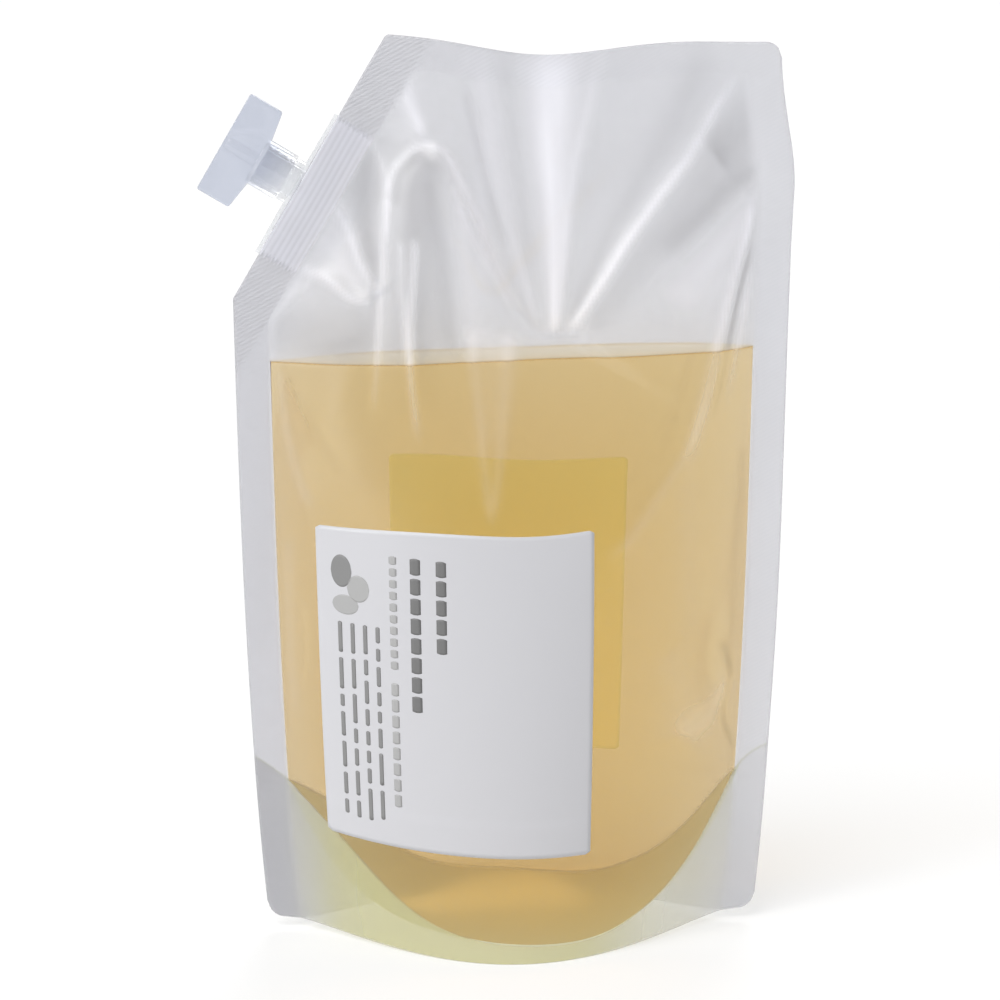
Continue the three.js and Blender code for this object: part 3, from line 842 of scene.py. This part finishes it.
class Nodes:
    """Builds a material's node tree."""

    def __init__(self, name):
        self.material = bpy.data.materials.new(name)
        self.material.use_nodes = True
        self.tree = self.material.node_tree
        self.tree.nodes.clear()
        self.out = self.tree.nodes.new("ShaderNodeOutputMaterial")

    def add(self, kind, inputs=None, **settings):
        node = self.tree.nodes.new("ShaderNode" + kind)
        for key, value in settings.items():
            setattr(node, key, value)
        for key, value in (inputs or {}).items():
            if isinstance(value, bpy.types.NodeSocket):
                self.tree.links.new(value, node.inputs[key])
            else:
                node.inputs[key].default_value = value
        return node

    def math(self, operation, *values):
        return self.add("Math", dict(enumerate(values)), operation=operation).outputs[0]

    def mix(self, factor, first, second):
        return self.add("MixShader", {0: factor, 1: first, 2: second}).outputs[0]

    def blend(self, factor, first, second):
        ends = {0: factor, 6: self.colour(first), 7: self.colour(second)}
        return self.add("Mix", ends, data_type="RGBA").outputs[2]

    def ramp(self, value, start, end, low=0.0, high=1.0):
        ends = {"Value": value, 1: start, 2: end, 3: low, 4: high}
        return self.add("MapRange", ends).outputs[0]

    def noise(self, position, scale, detail):
        settings = {"Vector": position, "Scale": scale, "Detail": detail}
        return self.add("TexNoise", settings).outputs["Fac"]

    def bumpy(self, height, strength, distance):
        settings = {"Height": height, "Strength": strength, "Distance": distance}
        return self.add("Bump", settings).outputs[0]

    def clear(self, tint=(1, 1, 1)):
        return self.add("BsdfTransparent", {"Color": self.colour(tint)}).outputs[0]

    def milky(self, share_through, colour, normal=None):
        """A body that scatters light back and, by a share, through."""
        link = {"Color": self.colour(colour), **({"Normal": normal} if normal else {})}
        white = self.add("BsdfDiffuse", link).outputs[0]
        return self.mix(share_through, white, self.add("BsdfTranslucent", link).outputs[0])

    @staticmethod
    def colour(value):
        return (*value, 1) if isinstance(value, tuple) else value

    def surface(self, shader, volume=None):
        self.tree.links.new(shader, self.out.inputs["Surface"])
        if volume:
            self.tree.links.new(volume, self.out.inputs["Volume"])
        return self.material

    def stripes(self, position, direction, pitch):
        """Even stripes across a direction, from 0 to 1."""
        across = self.add("VectorMath", {0: position, 1: direction}, operation="DOT_PRODUCT")
        phase = self.math("MULTIPLY", across.outputs["Value"], 2 * math.pi / pitch)
        wave = self.math("SINE", phase, 0.0)
        return self.math("MULTIPLY_ADD", wave, 0.5, 0.5)

    def attribute(self, name):
        return self.add("Attribute", attribute_name=name).outputs["Fac"]

    def satin(self, body, roughness, most, normal=None):
        """A body with a soft shine on it that grows towards grazing views up to a limit."""
        link = {"Normal": normal} if normal else {}
        fresnel = self.add("Fresnel", {"IOR": 1.5, **link}).outputs[0]
        share = self.math("MINIMUM", fresnel, most)
        shine = self.add("BsdfGlossy", {"Color": (1, 1, 1, 1), "Roughness": roughness, **link})
        return self.mix(share, body, shine.outputs[0])


FILM_TINT, FILM_SHADED, LEVEL_TINT = (0.932, 0.936, 0.947), (0.60, 0.58, 0.55), (0.80, 0.66, 0.36)
# brightness of the film's haze under the fullest painted shade and under the fullest painted
# highlight
HAZE_DARK, HAZE_LIGHT = 0.34, 1.0       # of the film's haze where its tone is -1 and 1


def soap_line(n, position):
    """Where soap wets the film, below its surface, and the line that the surface draws."""
    above = n.add("VectorMath", {0: position, 1: (-LEVEL_LEAN, 0, 1)}, operation="DOT_PRODUCT")
    above = n.math("SUBTRACT", above.outputs["Value"], LEVEL_MIDDLE * MM)
    wet = n.math("MULTIPLY", n.ramp(above, 0.0003, -0.0003), n.attribute("fill"))
    line = n.math("MULTIPLY", n.ramp(n.math("ABSOLUTE", above), 0.0007, 0.0), n.attribute("line"))
    return wet, n.math("MULTIPLY", line, 0.7)


def film_material():
    """Clear film whose outer face is hazy, as light or dark as its tone, which holds painted
    highlights and painted shade.
    """
    n = Nodes("milky_film")
    position = n.add("TexCoord").outputs["Object"]
    hatch = n.math("MULTIPLY", n.stripes(position, HATCH_ACROSS, HATCH_PITCH), n.attribute("hatch"))
    ribs = n.math("MULTIPLY", n.stripes(position, tuple(AXIS), RIB_PITCH), n.attribute("ribs"))
    tone = n.math("MULTIPLY_ADD", ribs, 0.28, n.attribute("tone"))
    tone = n.math("MULTIPLY_ADD", hatch, -0.25, tone)

    wet, line = soap_line(n, position)
    cloud = n.math("MULTIPLY_ADD", n.noise(position, 26.0, 4.0), 0.3, 0.85)
    dry = n.math("MULTIPLY_ADD", n.math("ABSOLUTE", tone), 0.32, n.attribute("milky"))
    dry = n.math("MULTIPLY", dry, cloud)
    soapy = n.math("MULTIPLY_ADD", n.math("MAXIMUM", tone, 0.0), 0.22, MILKY_WET)
    patchy = n.add("Mix", {0: wet, 2: dry, 3: soapy}).outputs[0]

    relief = n.math("ADD", n.math("MULTIPLY", hatch, 0.35), n.math("MULTIPLY", ribs, 0.3))
    relief = n.math("MULTIPLY_ADD", n.noise(position, 500.0, 2.0), 0.06, relief)
    normal = n.bumpy(relief, 0.5, 0.0003)

    # painted shade also dims the clear film's tint where the tone is below 0
    dim = n.math("MULTIPLY", n.math("MINIMUM", tone, 0.0), -0.3)
    tint = n.blend(line, n.blend(dim, FILM_TINT, FILM_SHADED), LEVEL_TINT)
    brightness = n.ramp(tone, -1.0, 1.0, HAZE_DARK, HAZE_LIGHT)
    haze = n.add("CombineColor", {"Red": brightness, "Green": brightness,
                                  "Blue": n.math("MULTIPLY", brightness, 1.06)}).outputs[0]
    body = n.mix(patchy, n.clear(tint), n.milky(0.55, haze, normal))
    return n.surface(n.mix(n.attribute("outer"), n.clear(), n.satin(body, 0.34, 0.16, normal)))


def gusset_material():
    """Film painted with soap-coloured light, deepest in the part that the soap rests on, whose
    painted glow stands in for light scattered inside the soap.
    """
    n = Nodes("gusset_film")
    painted_soap_light, keel = n.attribute("painted_soap_light"), n.attribute("keel")

    def tone(pale, painted_glow, deep):
        return n.blend(keel, n.blend(painted_soap_light, pale, painted_glow), deep)

    clear = n.clear(tone((0.98, 0.98, 0.98), (0.95, 0.94, 0.70), (0.99, 0.97, 0.90)))
    hazy = n.milky(0.5, tone((0.70, 0.70, 0.71), (0.74, 0.70, 0.26), (0.38, 0.42, 0.29)))
    # painted glow: the keel emits light, standing in for the light scattered inside the soap
    painted_glow = n.add("Emission", {"Color": tone((0, 0, 0), (0, 0, 0), (0.36, 0.36, 0.27))}).outputs[0]
    filled = n.add("AddShader", {0: hazy, 1: painted_glow}).outputs[0]
    share = n.math("MULTIPLY_ADD", keel, 0.86, n.math("MULTIPLY_ADD", painted_soap_light, 0.5, 0.04))
    body = n.satin(n.mix(share, clear, filled), 0.3, 0.05)
    return n.surface(n.mix(n.attribute("outer"), n.clear(), body))


def soap_material():
    """Clear amber liquid, tinted once more where it lies against the film."""
    n = Nodes("amber_soap")
    tint = n.blend(n.attribute("wall"), (0.99, 0.985, 0.97), (0.90, 0.798, 0.590))
    absorb = n.add("VolumeAbsorption", {"Color": (0.88, 0.70, 0.06, 1), "Density": 14.0})
    return n.surface(n.satin(n.clear(tint), 0.25, 0.03), absorb.outputs[0])


def paper_material(name, painted_glow):
    """Matt paper whose inner face glows with painted light, standing in for the light inside the
    soap.
    """
    n = Nodes(name)
    position = n.add("TexCoord").outputs["Object"]
    normal = n.bumpy(n.noise(position, 900.0, 3.0), 0.12, 0.0001)
    white = n.add("BsdfDiffuse", {"Color": (0.56, 0.56, 0.585, 1), "Normal": normal}).outputs[0]
    lit = n.add("Emission", {"Color": (*painted_glow, 1)}).outputs[0]
    back = n.add("AddShader", {0: white, 1: lit}).outputs[0]
    return n.surface(n.mix(n.attribute("outer"), back, n.satin(white, 0.35, 0.08, normal)))


def ink_material(name, shade):
    n = Nodes(name)
    ink = n.add("BsdfPrincipled", {"Base Color": (shade, shade, shade, 1), "Roughness": 0.45})
    return n.surface(ink.outputs[0])


def plastic_material(name, clear_tints, body_tint, milky, shine, ripple):
    """Clear plastic whose walls differ where they are marked thick: both the tint and the
    share of light that scatters are given as (thin, thick)."""
    n = Nodes(name)
    thick = n.attribute("thick")
    position = n.add("TexCoord").outputs["Object"]
    normal = n.bumpy(n.noise(position, 160.0, 3.0), ripple, 0.0004)
    clear = n.clear(n.blend(thick, *clear_tints))
    share = n.math("MULTIPLY_ADD", thick, milky[1] - milky[0], milky[0])
    body = n.mix(share, clear, n.milky(0.4, body_tint, normal))
    return n.surface(n.satin(body, 0.1, shine, normal))


def floor_material():
    n = Nodes("studio_floor")
    paper = n.add("BsdfPrincipled", {
        "Base Color": (0.4, 0.4, 0.4, 1), "Roughness": 0.9, "Specular IOR Level": 0.1,
        "Emission Color": (1, 1, 1, 1), "Emission Strength": 0.54,
    })
    return n.surface(paper.outputs[0])


# ---- Stage ----

TARGET = Vector((-3.6, 0, 128.5)) * MM
CAMERA_PLACE = (-3, 12, 0.76)            # degrees round and up, and metres, from the target
FOCAL_LENGTH, SENSOR = 95.2, 36
AMBIENT = 0.30               # light from all round, dimmer than the backdrop the camera sees
BACKDROP = 1.02


def point_at_pouch(name, data, azimuth, elevation, distance=1.0):
    """Puts a camera or a lamp round the target, looking at it."""
    turn, tilt = math.radians(azimuth), math.radians(elevation)
    away = Vector((math.sin(turn) * math.cos(tilt), -math.cos(turn) * math.cos(tilt),
                   math.sin(tilt)))
    thing = bpy.data.objects.new(name, data)
    thing.location = TARGET + away * distance
    thing.rotation_euler = (TARGET - thing.location).to_track_quat("-Z", "Y").to_euler()
    bpy.context.scene.collection.objects.link(thing)
    return thing


def camera():
    lens = bpy.data.cameras.new("camera")
    lens.lens, lens.sensor_width = FOCAL_LENGTH, SENSOR
    bpy.context.scene.camera = point_at_pouch("camera", lens, *CAMERA_PLACE)


def softbox(name, azimuth, elevation, size, power):
    lamp = bpy.data.lights.new(name, "AREA")
    lamp.shape, lamp.size, lamp.size_y = "RECTANGLE", *size
    lamp.energy = power
    point_at_pouch(name, lamp, azimuth, elevation)


def far_light(name, azimuth, elevation, power, spread):
    """An even light from one side, as soft as its spread in degrees."""
    lamp = bpy.data.lights.new(name, "SUN")
    lamp.energy, lamp.angle = power, math.radians(spread)
    point_at_pouch(name, lamp, azimuth, elevation)


def stage():
    """A pale floor, a white surround and soft studio lights."""
    bpy.ops.mesh.primitive_plane_add(size=40, location=(0, 0, 0))
    floor = bpy.context.object
    floor.name = "studio_floor"
    floor.data.materials.append(floor_material())

    world = bpy.data.worlds.new("studio")
    world.use_nodes = True
    tree = world.node_tree
    background = tree.nodes["Background"]
    seen = tree.nodes.new("ShaderNodeLightPath").outputs["Is Camera Ray"]
    strength = tree.nodes.new("ShaderNodeMath")
    strength.operation = "MULTIPLY_ADD"
    tree.links.new(seen, strength.inputs[0])
    strength.inputs[1].default_value = BACKDROP - AMBIENT
    strength.inputs[2].default_value = AMBIENT
    tree.links.new(strength.outputs[0], background.inputs["Strength"])
    background.inputs["Color"].default_value = (1, 1, 1, 1)
    bpy.context.scene.world = world

    far_light("sky_light", -38, 60, 1.7, 35)
    far_light("side_light", -62, 28, 1.0, 22)
    far_light("back_light", 168, 40, 1.3, 30)
    softbox("strip_left", -48, 20, (0.12, 0.8), 0.9)
    softbox("strip_right", 66, 24, (0.12, 0.8), 0.7)

    bpy.context.scene.view_settings.view_transform = "Standard"
    cycles = bpy.context.scene.cycles
    cycles.transparent_max_bounces = 32
    cycles.max_bounces, cycles.diffuse_bounces, cycles.glossy_bounces = 6, 3, 3


# ---- Put together ----

camera()
stage()

film = film_material()
finish_piece(panel("front_film", -1), "pouch", "film", film, "front_panel")
finish_piece(panel("back_film", 1), "pouch", "film", film, "back_panel")
finish_piece(gusset(), "pouch", "film", gusset_material(), "bottom_gusset")
finish_piece(soap(), "pouch", "soap", soap_material(), "liquid_soap")

front_paper = label("front_paper_label", -1, *FRONT_LABEL, lift=PAPER_LIFT, thickness=PAPER,
                    rise=FRONT_LABEL_RISE)
# the labels' inner faces glow with painted light in the soap's colours, brightest on the back label
front_finish = paper_material("front_label_paper", (0.36, 0.36, 0.25))
finish_piece(front_paper, "pouch", "label_paper", front_finish, "front_label")
back_paper = label("back_paper_label", 1, *BACK_LABEL, lift=PAPER_LIFT, thickness=PAPER)
back_finish = paper_material("back_label_paper", (0.66, 0.73, 0.44))
finish_piece(back_paper, "pouch", "label_paper", back_finish, "back_label")
for ink, shade in [*front_print(), *back_print()]:
    finish_piece(ink, "pouch", "label_paper", shade)

spout_plastic = plastic_material(
    "spout_plastic", [(0.965, 0.97, 0.98), (0.975, 0.98, 0.985)], (0.82, 0.83, 0.85),
    (0.10, 0.30), 0.2, 0.6)
cap_plastic = plastic_material(
    "cap_plastic", [(0.985, 0.985, 0.99), (0.82, 0.84, 0.89)], (0.63, 0.66, 0.74),
    (0.06, 0.30), 0.24, 0.35)
finish_piece(spout(), "pouch", "spout_plastic", spout_plastic, "spout_fitment")
finish_piece(cap(), "cap", "cap_plastic", cap_plastic, "twist_cap")
